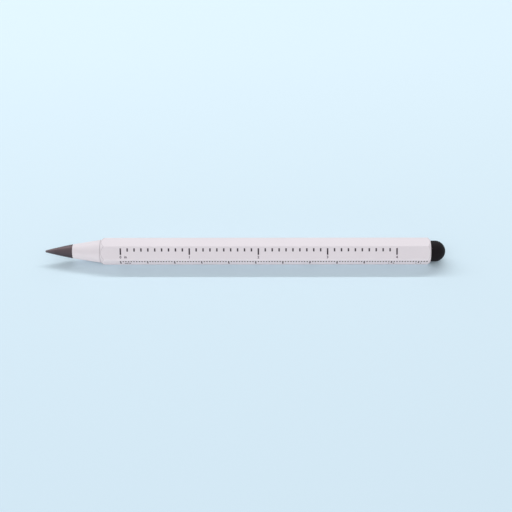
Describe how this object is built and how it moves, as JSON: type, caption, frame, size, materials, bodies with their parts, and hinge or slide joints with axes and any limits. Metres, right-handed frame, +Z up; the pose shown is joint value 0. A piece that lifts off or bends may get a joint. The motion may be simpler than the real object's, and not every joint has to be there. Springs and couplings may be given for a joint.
{
  "type": "inkless ruler pen",
  "caption": "Inkless metal pen with a hexagonal ruler barrel, a screw-in graphite alloy nib and a rubber stylus dome on the other end.",
  "frame": {"origin": "on the surface that the pen lies on, under the middle of its overall length and width", "axes": "+X along the pen from the nib to the stylus dome, +Z up and square to the flat that the pen lies on, the inch and centimetre facets face -Y"},
  "size_m": [0.1484, 0.01, 0.0089],
  "materials": {
    "lacquered_aluminium": "matt lacquer, warm greyish white with a faint pink tint, fine grain",
    "graphite_alloy": "satin dark grey alloy, turned",
    "black_rubber": "matt conductive rubber",
    "brass": "machined",
    "steel": "machined",
    "bare_aluminium": "machined"
  },
  "bodies": {
    "barrel": {"barrel": "lacquered_aluminium", "barrel_bush": "brass"},
    "nose_ring": {"nose_ring": "black_rubber"},
    "nose": {"nose_cone": "lacquered_aluminium", "nib_socket": "brass"},
    "nib_ring": {"nib_ring": "black_rubber"},
    "nib": {"nib": "graphite_alloy", "nib_stud": "steel"},
    "stylus": {"stylus_plug": "bare_aluminium", "stylus_dome": "black_rubber"}
  },
  "joints": [
    {"name": "nose_draw", "type": "slide", "parent": "barrel", "child": "nose_ring", "axis": [-1, 0, 0], "range_m": [0, 0.00675]},
    {"name": "nose_turn", "type": "hinge", "parent": "nose_ring", "child": "nose", "pos_m": [-0.05332, 0, 0.00445], "axis": [-1, 0, 0], "range_deg": [0, 3240]},
    {"name": "nib_draw", "type": "slide", "parent": "nose", "child": "nib_ring", "axis": [-1, 0, 0], "range_m": [0, 0.0045]},
    {"name": "nib_turn", "type": "hinge", "parent": "nib_ring", "child": "nib", "pos_m": [-0.06382, 0, 0.00445], "axis": [-1, 0, 0], "range_deg": [0, 3240]},
    {"name": "stylus_pull", "type": "slide", "parent": "barrel", "child": "stylus", "axis": [1, 0, 0], "range_m": [0, 0.012]}
  ],
  "couplings": [
    {"joint": "nose_turn", "follows": "nose_draw", "rad_per_m": 8377.6},
    {"joint": "nib_turn", "follows": "nib_draw", "rad_per_m": 12566}
  ]
}
